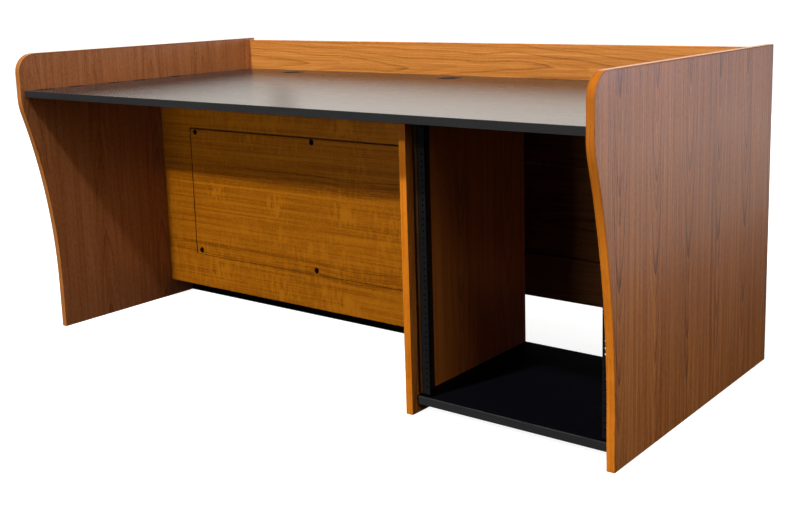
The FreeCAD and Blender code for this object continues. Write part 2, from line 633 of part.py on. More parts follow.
rear_panel_blank = box("rear_access_board", LEFT_IN + " + rear_gap", GALLERY + " + seat_clear", "stretcher_low",
                       INSIDE + " - 2*rear_gap", "board - seat_clear",
                       "upper_bottom - rear_gap - stretcher_low")
node(cut("rear_access_panel", rear_panel_blank, rear_holes), "rear_access_panel")
node(group("rear_access_screws", rear_screws), "rear_access_screws", 8)

# upright cleats on the end panels that take the rear panel's side screws
cleat_h = "upper_bottom - stretcher_high"
cleats = []
for side, x in (("left", LEFT_IN), ("right", RIGHT_IN + " - cleat_width")):
    blank = box("rear_cleat_%s_blank" % side, x, GALLERY + " - board", "stretcher_high",
                "cleat_width", "board", cleat_h)
    cleats.append(cut("rear_cleat_%s" % side, blank, BORES.pop("rear_cleat_%s" % side)))
node(group("rear_access_cleats", cleats), "rear_access_cleats", 2)


# ---------------------------------------------------------------- rack rails
def rail(name, side):
    """Formed steel angle: perforated face towards the user, leg to the rear.

    Drawn with x = 0 on the filler's face and the face reaching into the bay.
    """
    s = 1 if side == "left" else -1
    body = doc.addObject("PartDesign::Body", name)
    sk = sketch_on(body, "XY_Plane", name + "_section")
    f, d, g = D["rail_face"], D["rail_depth"], D["rail_gauge"]
    pts = [(0, 0), (s * f, 0), (s * f, g), (s * g, g), (s * g, d), (0, d)]
    n = len(pts)
    sk.addGeometry([Part.LineSegment(Vector(*pts[k], 0), Vector(*pts[(k + 1) % n], 0)) for k in range(n)], False)
    add = lambda *c: sk.addConstraint(Sketcher.Constraint(*c))
    for k in range(n):
        add("Coincident", k, 2, (k + 1) % n, 1)
    for k in (0, 2, 4):
        add("Horizontal", k)
    for k in (1, 3, 5):
        add("Vertical", k)
    add("Coincident", 0, 1, -1, 1)
    if s > 0:
        held(sk, "DistanceX", (0, 1, 0, 2, f), "face", "rail_face")
        held(sk, "DistanceX", (4, 2, 4, 1, g), "leg_gauge", "rail_gauge")
    else:
        held(sk, "DistanceX", (0, 2, 0, 1, f), "face", "rail_face")
        held(sk, "DistanceX", (4, 1, 4, 2, g), "leg_gauge", "rail_gauge")
    held(sk, "DistanceY", (1, 1, 1, 2, g), "face_gauge", "rail_gauge")
    held(sk, "DistanceY", (0, 1, 4, 2, d), "depth", "rail_depth")
    pad = body.newObject("PartDesign::Pad", name + "_pad")
    pad.Profile = sk
    bind(pad, "Length", "rail_length")
    body.Tip = pad
    doc.recompute()

    def bend(e):
        b = e.BoundBox
        if b.ZLength < 100:
            return False
        p = e.valueAt(0)
        return abs(p.x) < 0.01 and abs(p.y) < 0.01

    eased = rounded(body, pad, "rail_gauge + 1", bend)
    doc.recompute()
    hs = sketch_on(body, "XZ_Plane", name + "_holes")
    hx = (D["bay_width"] - D["rack_spacing"]) / 2 - D["filler"]
    first = D["rail_first"] - D["rail_low"]
    for k, word in enumerate(("rack_hole_one", "rack_hole_two", "rack_hole_three")):
        z = first + D[word]
        hs.addGeometry(Part.Circle(Vector(s * hx, z, 0), Vector(0, 0, 1), D["rack_hole"]), False)
        if s > 0:
            held(hs, "DistanceX", (-1, 1, k, 3, hx), "line_%d" % k, "(bay_width - rack_spacing)/2 - filler")
        else:
            held(hs, "DistanceX", (k, 3, -1, 1, hx), "line_%d" % k, "(bay_width - rack_spacing)/2 - filler")
        held(hs, "DistanceY", (-1, 1, k, 3, z), "rise_%d" % k, "rail_first - rail_low + " + word)
        held(hs, "Radius", (k, D["rack_hole"]), "bore_%d" % k, "rack_hole")
    before = eased.Shape.Volume
    pk = body.newObject("PartDesign::Pocket", name + "_unit")
    pk.Profile = hs
    pk.Type = 0
    bind(pk, "Length", "rail_gauge*4")
    pk.Midplane = True
    body.Tip = pk
    doc.recompute()
    if not pk.Shape.Volume < before - 50:
        raise SystemExit(name + ": the rack holes cut nothing")
    lp = body.newObject("PartDesign::LinearPattern", name + "_units")
    lp.Originals = [pk]
    lp.Direction = (hs, ["V_Axis"])
    bind(lp, "Length", "13*rack_unit")
    lp.Occurrences = 14
    body.Tip = lp
    doc.recompute()
    if not lp.Shape.Volume < before - 13 * 50:
        raise SystemExit(name + ": the rack hole pattern is incomplete")
    ms = sketch_on(body, "YZ_Plane", name + "_fixings")
    ms.addGeometry(Part.Circle(Vector(D["rail_screw_row"], D["rail_screw_first"], 0), Vector(0, 0, 1), D["screw_clear"]), False)
    held(ms, "DistanceX", (-1, 1, 0, 3, D["rail_screw_row"]), "row", "rail_screw_row")
    held(ms, "DistanceY", (-1, 1, 0, 3, D["rail_screw_first"]), "first", "rail_screw_first")
    held(ms, "Radius", (0, D["screw_clear"]), "bore", "screw_clear")
    before = lp.Shape.Volume
    fk = body.newObject("PartDesign::Pocket", name + "_fixing")
    fk.Profile = ms
    fk.Type = 0
    bind(fk, "Length", "rail_gauge*4")
    fk.Midplane = True
    body.Tip = fk
    doc.recompute()
    fp = body.newObject("PartDesign::LinearPattern", name + "_fixing_row")
    fp.Originals = [fk]
    fp.Direction = (ms, ["V_Axis"])
    bind(fp, "Length", "3*rail_screw_pitch")
    fp.Occurrences = 4
    body.Tip = fp
    doc.recompute()
    if not fp.Shape.Volume < before - 3 * 25:
        raise SystemExit(name + ": the fixing holes are incomplete")
    place(body, DIV_RIGHT + " + filler" if s > 0 else RIGHT_IN + " - filler",
          FRONT + " + rail_set", "rail_low")
    return body


node(rail("rack_rail_left", "left"), "rack_rail_left")
node(rail("rack_rail_right", "right"), "rack_rail_right")

rail_screws = []
for side, x, s, board in (("left", DIV_RIGHT, 1, "divider_panel"), ("right", RIGHT_IN, -1, "right_end_panel")):
    way = "-x" if s > 0 else "+x"
    tools = []
    for k in range(4):
        z = "rail_low + rail_screw_first + %d*rail_screw_pitch" % k
        y = FRONT + " + rail_set + rail_screw_row"
        seat = "(%s) + (%d)*(filler + rail_gauge)" % (x, s)
        tag = "rail_%s_screw_%d" % (side, k)
        rail_screws.append(pan_screw(tag, way, seat, y, z, "rail_gauge + filler + 11"))
        tools.append(cyl(tag + "_filler", way, "(%s) + (%d)*(filler + 3)" % (x, s), y, z, "screw_bore", "filler + 6"))
        bore(board, cyl(tag + "_pilot", way, x, y, z, "screw_bore", "11.5"))
    x0 = x if s > 0 else "(%s) - filler" % x
    blank = box("rack_filler_%s_blank" % side, x0, FRONT + " + rail_set", "rail_low",
                "filler", "filler_depth", "rail_length")
    node(cut("rack_filler_%s" % side, blank, tools), "rack_filler_%s" % side)
node(group("rack_rail_screws", rail_screws), "rack_rail_screws", 8)

# ------------------------------------------------------- boards with their bores
for label, blank in BOARDS.items():
    node(cut(label, blank, BORES.pop(label)), label)
if BORES:
    raise SystemExit("bores without a board: %s" % sorted(BORES))

doc.recompute()

# ----------------------------------------------------------------- last checks
bad = [o.Name for o in doc.Objects if "Invalid" in o.State or "Error" in o.State]
if bad:
    raise SystemExit("failed objects: %s" % bad)
for obj, label, count in NODES:
    shape = obj.Shape
    if shape.isNull() or not shape.isValid():
        raise SystemExit("bad shape: " + label)
    if len(shape.Solids) != count:
        raise SystemExit("%s has %d solids, not %d" % (label, len(shape.Solids), count))

os.makedirs("parts", exist_ok=True)
for obj, label, count in NODES:
    obj.Shape.exportStep("parts/%s.step" % label)
    b = obj.Shape.BoundBox
    print("%-24s %2d  x %8.1f %8.1f  y %7.1f %7.1f  z %6.1f %6.1f  vol %.0f" % (
        label, count, b.XMin, b.XMax, b.YMin, b.YMax, b.ZMin, b.ZMax, obj.Shape.Volume))
print(len(NODES), "nodes")
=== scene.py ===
import math

import bpy
from mathutils import Matrix, Vector

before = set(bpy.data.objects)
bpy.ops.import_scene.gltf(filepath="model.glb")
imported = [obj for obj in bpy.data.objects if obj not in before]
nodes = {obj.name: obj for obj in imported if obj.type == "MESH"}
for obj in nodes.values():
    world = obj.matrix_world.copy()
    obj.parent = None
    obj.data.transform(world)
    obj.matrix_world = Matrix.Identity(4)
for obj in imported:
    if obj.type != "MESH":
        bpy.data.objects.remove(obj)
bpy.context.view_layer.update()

scene = bpy.context.scene


# ---------------------------------------------------------------- node writing
class Sock:
    """An output socket that can be added, multiplied and compared."""

    def __init__(self, graph, out):
        self.graph, self.out = graph, out

    def __add__(self, other):
        return self.graph.math("ADD", self, other)

    def __radd__(self, other):
        return self.graph.math("ADD", other, self)

    def __sub__(self, other):
        return self.graph.math("SUBTRACT", self, other)

    def __rsub__(self, other):
        return self.graph.math("SUBTRACT", other, self)

    def __mul__(self, other):
        return self.graph.math("MULTIPLY", self, other)

    def __rmul__(self, other):
        return self.graph.math("MULTIPLY", other, self)

    def __truediv__(self, other):
        return self.graph.math("DIVIDE", self, other)

    def __pow__(self, other):
        return self.graph.math("POWER", self, other)

    def floor(self):
        return self.graph.math("FLOOR", self)

    def fract(self):
        return self.graph.math("FRACT", self)

    def abs(self):
        return self.graph.math("ABSOLUTE", self)

    def sqrt(self):
        return self.graph.math("SQRT", self)

    def low(self, other):
        return self.graph.math("MINIMUM", self, other)

    def high(self, other):
        return self.graph.math("MAXIMUM", self, other)

    def clamp(self):
        n = self.graph.math("ADD", self, 0.0)
        n.out.node.use_clamp = True
        return n


class Graph:
    """A material with one Principled shader, in the part's own metres."""

    def __init__(self, name):
        self.mat = bpy.data.materials.new(name)
        self.mat.use_nodes = True
        self.tree = self.mat.node_tree
        self.tree.nodes.clear()
        out = self.new("ShaderNodeOutputMaterial")
        self.shader = self.new("ShaderNodeBsdfPrincipled")
        self.tree.links.new(self.shader.outputs[0], out.inputs["Surface"])
        where = self.new("ShaderNodeTexCoord")
        self.x, self.y, self.z = self.split(where.outputs["Object"])
        self.nx, self.ny, self.nz = self.split(where.outputs["Normal"])

    def new(self, kind):
        return self.tree.nodes.new(kind)

    def split(self, out):
        n = self.new("ShaderNodeSeparateXYZ")
        self.tree.links.new(out, n.inputs[0])
        return [Sock(self, n.outputs[i]) for i in range(3)]

    def put(self, socket, value):
        if isinstance(value, Sock):
            self.tree.links.new(value.out, socket)
        else:
            socket.default_value = value

    def math(self, op, a, b=None):
        n = self.new("ShaderNodeMath")
        n.operation = op
        self.put(n.inputs[0], a)
        if b is not None:
            self.put(n.inputs[1], b)
        return Sock(self, n.outputs[0])

    def vec(self, x, y, z=0.0):
        n = self.new("ShaderNodeCombineXYZ")
        for i, v in enumerate((x, y, z)):
            self.put(n.inputs[i], v)
        return Sock(self, n.outputs[0])

    def noise(self, x, y, z=0.0, detail=1.0, rough=0.5, twist=0.0):
        """Soft noise between 0 and 1, about one lump to a unit."""
        n = self.new("ShaderNodeTexNoise")
        self.put(n.inputs["Vector"], self.vec(x, y, z))
        n.inputs["Scale"].default_value = 1.0
        n.inputs["Detail"].default_value = detail
        n.inputs["Roughness"].default_value = rough
        n.inputs["Distortion"].default_value = twist
        return Sock(self, n.outputs[0])

    def chance(self, value):
        """A steady random number between 0 and 1 for each whole value."""
        n = self.new("ShaderNodeTexWhiteNoise")
        n.noise_dimensions = "1D"
        self.put(n.inputs["W"], value)
        return Sock(self, n.outputs["Value"])

    def step(self, value, low, high, a=0.0, b=1.0):
        """Smooth step: a below low, b above high."""
        n = self.new("ShaderNodeMapRange")
        n.interpolation_type = "SMOOTHSTEP"
        for i, v in enumerate((value, low, high, a, b)):
            self.put(n.inputs[i], v)
        return Sock(self, n.outputs[0])

    def ramp(self, value, stops):
        n = self.new("ShaderNodeValToRGB")
        e = n.color_ramp.elements
        while len(e) < len(stops):
            e.new(0.5)
        for i, (at, colour) in enumerate(stops):
            e[i].position = at
            e[i].color = (*colour, 1.0)
        self.put(n.inputs[0], value)
        return Sock(self, n.outputs[0])

    def mix(self, share, a, b, how="MIX"):
        n = self.new("ShaderNodeMix")
        n.data_type = "RGBA"
        n.blend_type = how
        self.put(n.inputs[0], share)
        for i, v in ((6, a), (7, b)):
            self.put(n.inputs[i], v if isinstance(v, Sock) else (*v, 1.0))
        return Sock(self, n.outputs[2])

    def scale(self, colour, share):
        """A colour times a plain number, from a socket."""
        n = self.new("ShaderNodeVectorMath")
        n.operation = "SCALE"
        self.put(n.inputs[0], colour)
        self.put(n.inputs["Scale"], share)
        return Sock(self, n.outputs[0])

    def finish(self, colour, rough, height=None, depth=0.0002, strength=1.0,
               specular=0.5, coat=0.0, coat_rough=0.1, metal=0.0):
        s = self.shader.inputs
        self.put(s["Base Color"], colour)
        self.put(s["Roughness"], rough)
        s["Specular IOR Level"].default_value = specular
        s["Metallic"].default_value = metal
        s["Coat Weight"].default_value = coat
        s["Coat Roughness"].default_value = coat_rough
        if height is not None:
            n = self.new("ShaderNodeBump")
            n.inputs["Strength"].default_value = strength
            n.inputs["Distance"].default_value = depth
            self.put(n.inputs["Height"], height)
            self.tree.links.new(n.outputs[0], s["Normal"])
        return self.mat


# ------------------------------------------------------------------------ oak
LIGHT, MIDDLE, DARK = (0.44, 0.152, 0.014), (0.31, 0.096, 0.0065), (0.120, 0.031, 0.0025)
LIP_LIGHT, LIP_MIDDLE, LIP_DARK = (0.362, 0.114, 0.0090), (0.283, 0.082, 0.0046), (0.146, 0.036, 0.0025)


def oak_veneer(name, u, v, face, width, centre, taper, ring, heart, seed, wander=0.02,
               line=0.75, flank=0.35, spread=0.05, curls=(), curl=0.0, hue=(1.0, 1.0, 1.0),
               streaks=0.80, specular=0.4, coat=0.15, rough_mid=0.31, bow=0.0, weave=170.0, fleck=0.30,
               ripple=0.0):
    """Plain-sliced oak leaves laid side by side.

    u runs across the grain and v along it ("x", "y" or "z"); face is the axis
    that the veneered faces look along.  Each leaf is a slice through a tapering
    trunk, so its growth rings come out as nested arches down the middle and
    straight lines at the sides; bow draws those side lines closer together.
    weave is the number of straight streaks to a metre, fleck the strength of
    short dashes, ripple the strength of soft strokes across the grain.  curls
    are places (along the grain, off the leaf's middle) where these are strong.
    """
    g = Graph(name)
    axis = {"x": g.x, "y": g.y, "z": g.z}
    normal = {"x": g.nx, "y": g.ny, "z": g.nz}
    a, b = axis[u], axis[v]
    leaf = ((a - centre) / width + 0.5).floor()
    local = a - centre - leaf * width
    drift = leaf * 0.06 + seed
    # the trunk's middle wanders and swells along its length
    sway = g.noise(local * 4.0, b * 2.2, drift, detail=2.0) - 0.5
    x = local + sway * wander
    swell = g.noise(drift, b * 2.0, seed + 3.0, detail=2.0, rough=0.55) - 0.5
    jag = g.noise(a * 110.0, b * 24.0, seed + 8.0, detail=2.0) - 0.5
    r = (x * x + heart * heart).sqrt() + x * x * bow - b * taper + swell * (ring * 2.5) + jag * (ring * 0.45)
    rings = r / ring
    rings = rings + g.noise(rings * 0.33, seed + 7.0, 0.0, detail=2.0) * 1.2
    part = 1.0 - rings.fract()
    which = rings.floor()
    group = ((which + 0.5) / 3.0).fract()
    force = ((1.12 - group * 1.05) ** 1.5) * (g.chance(which + seed * 13.0) * 0.5 + 0.6)
    middle = g.step(x.abs(), spread * 0.35, spread, 1.0, 0.0)
    early = g.step(part, 0.0, 0.12) * ((1.0 - part) ** 1.6) * force * (middle * (1.0 - flank) + flank)
    # straight streaks, fine fibre and open pores
    streak = g.noise(a * weave, b * 1.6, seed, detail=3.0, rough=0.6)
    fibre = g.noise(a * 620.0, b * 9.0, seed + 1.0, detail=2.0, rough=0.6)
    pore = g.step(g.noise(a * 1500.0, b * 42.0, seed + 2.0, detail=1.0), 0.56, 0.70)
    pore = pore * (early * 0.8 + 0.30)
    cloud = g.noise(a * 4.0, b * 1.3, seed + 4.0, detail=2.0)
    dash = g.noise(a * 330.0, b * 105.0, seed + 6.0, detail=2.0, rough=0.6)
    dark = (early * line + (streak - 0.5) * streaks + (fibre - 0.5) * 0.45
            + (dash - 0.5) * fleck + pore * 0.38 + (cloud - 0.5) * 0.42 + 0.25)
    if ripple:
        patch = g.step(g.noise(a * 9.0, b * 4.0, seed + 9.0, detail=2.0), 0.42, 0.62)
        stroke = g.noise(b * 105.0, a * 24.0, seed + 10.0, detail=1.0) - 0.48
        dark = dark - stroke.high(-0.05) * (patch * ripple + ripple * 0.35)
    for at, off, size in curls:
        far = ((b - at) * (b - at) / (size * size) + (local - off) * (local - off) / (0.0016)).sqrt()
        near = g.step(far, 0.25, 1.25, 1.0, 0.0)
        wave = g.noise(b * 115.0 + local * 8.0, local * 24.0, drift + at, detail=1.0, rough=0.5)
        dark = dark - (wave - 0.48).high(-0.03) * near * curl
    leaf_tone = g.chance(leaf + seed) * 0.08 + 0.96
    tint = [tuple(c * h for c, h in zip(colour, hue)) for colour in (LIGHT, MIDDLE, DARK)]
    colour = g.ramp(dark, [(0.0, tint[0]), (0.38, tint[1]), (1.0, tint[2])])
    colour = g.scale(colour, leaf_tone)
    # board edges carry a plain strip of the same timber
    edge = g.step(normal[face].abs(), 0.5, 0.6, 1.0, 0.0)
    rim = g.ramp(g.noise(g.x * 300.0, g.y * 300.0, g.z * 12.0, detail=3.0),
                 [(0.25, MIDDLE), (0.75, DARK)])
    colour = g.mix(edge, colour, rim)
    smear = g.noise(a * 6.0, b * 5.0, seed + 5.0, detail=3.0)
    rough = rough_mid + pore * 0.20 + (fibre - 0.5) * 0.08 + (smear - 0.5) * 0.10 + edge * 0.45
    height = pore * -1.0 + (fibre - 0.5) * 0.25 - early * 0.3
    return g.finish(colour, rough, height, depth=0.00012, strength=0.55,
                    specular=specular, coat=coat, coat_rough=0.16)


def oak_lip(name, across, along, edges, seed, hue=(1.0, 1.0, 1.0), painted_top_shade=1.0):
    """Solid oak edge band: fine straight grain along it, arrises rubbed paler.

    The last argument sets how much darker the band is painted towards its top: painted shade that evens out the
    stronger light on its upper part.
    """
    g = Graph(name)
    axis = {"x": g.x, "y": g.y, "z": g.z}
    a = axis[across]
    b = axis[along[0]]
    for more in along[1:]:
        b = b + axis[more]
    streak = g.noise(a * 260.0, b * 3.0, seed, detail=3.0, rough=0.6)
    fibre = g.noise(a * 900.0, b * 16.0, seed + 1.0, detail=2.0)
    pore = g.step(g.noise(a * 1300.0, b * 60.0, seed + 2.0, detail=1.0), 0.57, 0.70)
    cloud = g.noise(a * 8.0, b * 9.0, seed + 3.0, detail=3.0)
    dark = (streak - 0.5) * 1.15 + (fibre - 0.5) * 0.5 + pore * 0.40 + (cloud - 0.5) * 0.85 + 0.28
    tint = [tuple(c * h for c, h in zip(colour, hue)) for colour in (LIP_LIGHT, LIP_MIDDLE, LIP_DARK)]
    colour = g.ramp(dark, [(0.0, tint[0]), (0.4, tint[1]), (1.0, tint[2])])
    # painted shade: the band is darkened towards its top to even out the stronger light there
    if painted_top_shade != 1.0:
        colour = g.scale(colour, g.step(g.z, 0.38, 0.74, 1.0, painted_top_shade))
    near = None
    for at in edges:
        d = (a - at).abs()
        near = d if near is None else near.low(d)
    worn = g.step(near, 0.0004, 0.0016, 1.0, 0.0) * g.step(g.noise(b * 30.0, seed, 2.0, detail=3.0), 0.35, 0.65)
    colour = g.mix(worn * 0.25, colour, (0.40, 0.17, 0.04))
    rough = 0.33 + pore * 0.18 + (fibre - 0.5) * 0.08 + worn * 0.08
    height = pore * -1.0 + (fibre - 0.5) * 0.3
    return g.finish(colour, rough, height, depth=0.0001, strength=0.5, specular=0.12, coat=0.14, coat_rough=0.05)


def plain_timber(name, across, along, pale, deep, seed, fine=1.0, specular=0.3):
    """Straight-grained timber for battens, cleats, fillers and dowels; the near black of the fillers and the dark
    brown of the battens and cleats are painted shade.
    """
    g = Graph(name)
    axis = {"x": g.x, "y": g.y, "z": g.z}
    a, b = axis[across], axis[along]
    sway = g.noise(a * 6.0, b * 2.0, seed, detail=2.0) - 0.5
    rings = (a + sway * 0.01) * (180.0 * fine)
    part = rings.fract()
    late = (part ** 3.0) * (g.chance(rings.floor() + seed) * 0.6 + 0.4)
    fibre = g.noise(a * 800.0, b * 12.0, seed + 1.0, detail=2.0)
    dark = late * 0.6 + (fibre - 0.5) * 0.5 + 0.25
    colour = g.ramp(dark, [(0.0, pale), (1.0, deep)])
    rough = 0.62 + (fibre - 0.5) * 0.2
    return g.finish(colour, rough, (fibre - 0.5) * 0.6 - late * 0.3, depth=0.0002, strength=0.5, specular=specular)


# ------------------------------------------------------- laminate, plastic, steel
def laminate(name, seed, base=(0.0105, 0.0105, 0.0115), pale=(0.017, 0.017, 0.018), rough_mid=0.27, specular=0.5):
    """Black laminate: a fine pebbled surface with faint handling marks."""
    g = Graph(name)
    pebble = g.noise(g.x * 900.0, g.y * 900.0, g.z * 900.0 + seed, detail=2.0, rough=0.6)
    grain = g.noise(g.x * 240.0, g.y * 240.0, g.z * 240.0 + seed, detail=2.0)
    smear = g.noise(g.x * 3.0, g.y * 5.0, g.z * 4.0 + seed, detail=4.0, rough=0.55, twist=0.6)
    scuff = g.step(g.noise(g.x * 14.0, g.y * 60.0, seed + 3.0, detail=3.0), 0.62, 0.74)
    colour = g.ramp((pebble - 0.5) * 0.9 + (grain - 0.5) * 0.4 + 0.5, [(0.1, base), (0.9, pale)])
    rough = rough_mid + (smear - 0.5) * 0.03 + (pebble - 0.5) * 0.04 + scuff * 0.012
    return g.finish(colour, rough, pebble * 0.7 + grain * 0.3, depth=0.00005, strength=0.4, specular=specular)


def charcoal_band(name, low, high, seed):
    """Charcoal edge band: drawn lines along it, arrises polished paler by use."""
    g = Graph(name)
    drawn = g.noise(g.x * 5.0, g.y * 700.0, g.z * 700.0 + seed, detail=2.0)
    cloud = g.noise(g.x * 7.0, g.z * 30.0, seed, detail=2.0)
    near = (g.z - low).abs().low((g.z - high).abs())
    worn = g.step(near, 0.0003, 0.0015, 1.0, 0.0) * g.step(g.noise(g.x * 18.0, seed, 1.0, detail=3.0), 0.3, 0.6)
    colour = g.ramp((drawn - 0.5) * 0.6 + (cloud - 0.5) * 0.5 + 0.5,
                    [(0.1, (0.0088, 0.0085, 0.0090)), (0.9, (0.0166, 0.0160, 0.0166))])
    colour = g.mix(worn * 0.45, colour, (0.036, 0.036, 0.038))
    rough = 0.40 + (drawn - 0.5) * 0.14 - worn * 0.06
    return g.finish(colour, rough, drawn, depth=0.00005, strength=0.35, specular=0.3)


def powder_coat(name, seed, bend_x):
    """Black powder coat on the rack rails, rubbed along the bend and by fixings."""
    g = Graph(name)
    peel = g.noise(g.x * 420.0, g.y * 420.0, g.z * 420.0 + seed, detail=2.0)
    dust = g.noise(g.x * 40.0, g.y * 40.0, g.z * 6.0, detail=3.0)
    rub = g.step(g.noise(g.x * 300.0, g.y * 300.0, g.z * 30.0, detail=3.0), 0.60, 0.72)
    near = g.step((g.x - bend_x).abs(), 0.0005, 0.0025, 1.0, 0.0)
    colour = g.ramp((peel - 0.5) * 0.5 + (dust - 0.5) * 0.9 + 0.5,
                    [(0.1, (0.0028, 0.0028, 0.0031)), (0.9, (0.0066, 0.0066, 0.0070))])
    colour = g.mix(rub * near * 0.5, colour, (0.11, 0.11, 0.115))
    rough = 0.40 + (dust - 0.5) * 0.18
    return g.finish(colour, rough, peel, depth=0.00012, strength=0.4, specular=0.15)


def black_oxide(name, seed):
    """Blackened steel fasteners with bare metal showing through on the high spots."""
    g = Graph(name)
    fleck = g.noise(g.x * 900.0, g.y * 900.0, g.z * 900.0 + seed, detail=3.0)
    rub = g.step(g.noise(g.x * 500.0, g.y * 500.0, g.z * 500.0 + seed, detail=2.0), 0.62, 0.74)
    colour = g.ramp(fleck, [(0.3, (0.0030, 0.0018, 0.0016)), (0.7, (0.0062, 0.0040, 0.0036))])
    colour = g.mix(rub * 0.20, colour, (0.030, 0.022, 0.018))
    return g.finish(colour, 0.46 + (fleck - 0.5) * 0.2, fleck, depth=0.00004, strength=0.4, specular=0.10)


def zinc(name, seed):
    """Bright zinc plate on the hidden angles and screws."""
    g = Graph(name)
    cloud = g.noise(g.x * 160.0, g.y * 160.0, g.z * 160.0 + seed, detail=3.0)
    drawn = g.noise(g.x * 900.0, g.y * 90.0, g.z * 900.0, detail=2.0)
    colour = g.ramp(cloud, [(0.3, (0.46, 0.45, 0.41)), (0.7, (0.64, 0.64, 0.62))])
    return g.finish(colour, 0.34 + (drawn - 0.5) * 0.2, drawn, depth=0.00004, strength=0.4, metal=1.0)


def moulded(name, seed):
    """Black moulded plastic with a fine spark-eroded grain."""
    g = Graph(name)
    spark = g.noise(g.x * 1400.0, g.y * 1400.0, g.z * 1400.0 + seed, detail=2.0)
    cloud = g.noise(g.x * 60.0, g.y * 60.0, g.z * 60.0, detail=2.0)
    colour = g.ramp(cloud, [(0.3, (0.012, 0.012, 0.012)), (0.7, (0.020, 0.020, 0.021))])
    return g.finish(colour, 0.46 + (cloud - 0.5) * 0.12, spark, depth=0.00006, strength=0.5)


def wear(material, *names):
    for n in names:
        if not nodes[n].material_slots:
            nodes[n].data.materials.append(material)
        for slot in nodes[n].material_slots:
            slot.material = material


HALF = 0.9335
wear(oak_veneer("oak_right_end", "y", "z", "x", 0.1645, -0.361, 0.400, 0.0270, 0.002, 1.7, wander=0.012,
                line=0.98, flank=0.45, spread=0.050, bow=70.0, weave=190.0, fleck=0.80, streaks=1.75,
                hue=(0.90, 0.915, 2.35), specular=0.5,
                rough_mid=0.38), "right_end_panel")
# the left end's hue is partly its own tone and partly turned down as painted shade for its dim inner face
wear(oak_veneer("oak_left_end", "y", "z", "x", 0.2185, -0.211, -0.380, 0.0300, 0.004, 4.3, wander=0.018,
                line=0.60, flank=0.40, spread=0.060, bow=45.0, weave=85.0, fleck=0.85, streaks=0.95,
                hue=(0.92, 0.97, 4.0)), "left_end_panel")
wear(oak_veneer("oak_divider", "y", "z", "x", 0.2100, -0.150, 0.380, 0.0300, 0.004, 7.9, wander=0.018,
                line=0.80, flank=0.40, spread=0.060, bow=45.0, weave=85.0, fleck=0.5, streaks=1.0,
                hue=(0.95, 0.90, 1.4)), "divider_panel")
wear(oak_veneer("oak_modesty", "z", "x", "y", 0.2605, 0.432, 0.012, 0.0065, 0.004, 2.6, wander=0.060,
                line=0.90, flank=0.12, spread=0.040, curl=3.4, streaks=1.5, fleck=0.8, ripple=0.9, hue=(0.90, 0.855, 0.34),
                curls=((-0.415, -0.080, 0.050), (-0.150, -0.085, 0.065), (-0.68, -0.06, 0.05), (0.13, -0.07, 0.05)),
                specular=0.3, coat=0.08), "modesty_panel", "modesty_access_panel")
wear(oak_veneer("oak_gallery", "z", "x", "y", 0.3000, 0.745, -0.050, 0.0075, 0.012, 5.2, wander=0.050,
                line=0.62, flank=0.6, spread=0.080, streaks=1.0, hue=(0.85, 0.965, 2.45)), "rear_panel")
wear(oak_veneer("oak_rear", "z", "x", "y", 0.2400, 0.300, 0.045, 0.0075, 0.012, 8.4, wander=0.045,
                line=0.95, spread=0.070, hue=(0.85, 1.0, 4.0)), "rear_access_panel", "rear_stretcher")
wear(oak_lip("oak_lip_left", "x", "zy", (-HALF, -HALF + 0.019), 1.1, hue=(0.68, 0.80, 3.0)), "left_end_edge_band")
# the right band is painted darker towards its top as painted shade
wear(oak_lip("oak_lip_right", "x", "zy", (HALF, HALF - 0.019), 2.2, hue=(1.06, 1.01, 1.08), painted_top_shade=0.68), "right_end_edge_band")
wear(oak_lip("oak_lip_divider", "x", "z", (0.378, 0.397), 3.3, hue=(1.05, 1.02, 0.85)), "divider_edge_band")
wear(oak_lip("oak_lip_gallery", "y", "x", (0.444, 0.463), 4.4), "rear_panel_edge_band")
# the fillers are near black as painted shade, standing in for the divider's shadow over them
wear(plain_timber("oak_strip", "y", "z", (0.022, 0.0085, 0.0026), (0.012, 0.0045, 0.0014), 5.5,
                  specular=0.06), "rack_filler_left", "rack_filler_right")
wear(laminate("laminate_worktop", 0.0), "worktop")
# the shelf and base rail take a far darker copy of the black laminate as painted shade for the dim rack bay
wear(laminate("laminate_shelf", 6.0, (0.0008, 0.0009, 0.0015), (0.0018, 0.0019, 0.0028), 0.55, 0.03),
     "base_shelf", "base_rail")
wear(charcoal_band("band_worktop", 0.701, 0.720, 1.0), "worktop_edge_band")
wear(charcoal_band("band_shelf", 0.023, 0.043, 2.0), "base_shelf_edge_band")
wear(powder_coat("powder_rail_left", 0.0, 0.4095), "rack_rail_left")
wear(powder_coat("powder_rail_right", 3.0, 0.9020), "rack_rail_right")
wear(black_oxide("oxide_fastener", 0.0), "access_panel_screws", "access_panel_washers",
     "rear_access_screws", "rack_rail_screws")
wear(zinc("zinc_plate", 0.0), "worktop_brackets", "bracket_screws")
# the battens and cleats are dark brown as painted shade, standing in for the shade in the gaps round the access
# panels
wear(plain_timber("timber_batten_long", "z", "x", (0.085, 0.038, 0.016), (0.045, 0.019, 0.008), 1.0),
     "access_battens_long")
wear(plain_timber("timber_batten_short", "x", "z", (0.085, 0.038, 0.016), (0.045, 0.019, 0.008), 2.0),
     "access_battens_short")
wear(plain_timber("timber_cleat", "x", "z", (0.085, 0.038, 0.016), (0.045, 0.019, 0.008), 4.0), "rear_access_cleats")
wear(plain_timber("timber_dowel", "z", "x", (0.55, 0.37, 0.20), (0.42, 0.26, 0.13), 3.0, 3.0), "joint_dowels")
wear(moulded("plastic_liner", 0.0), "port_liners")

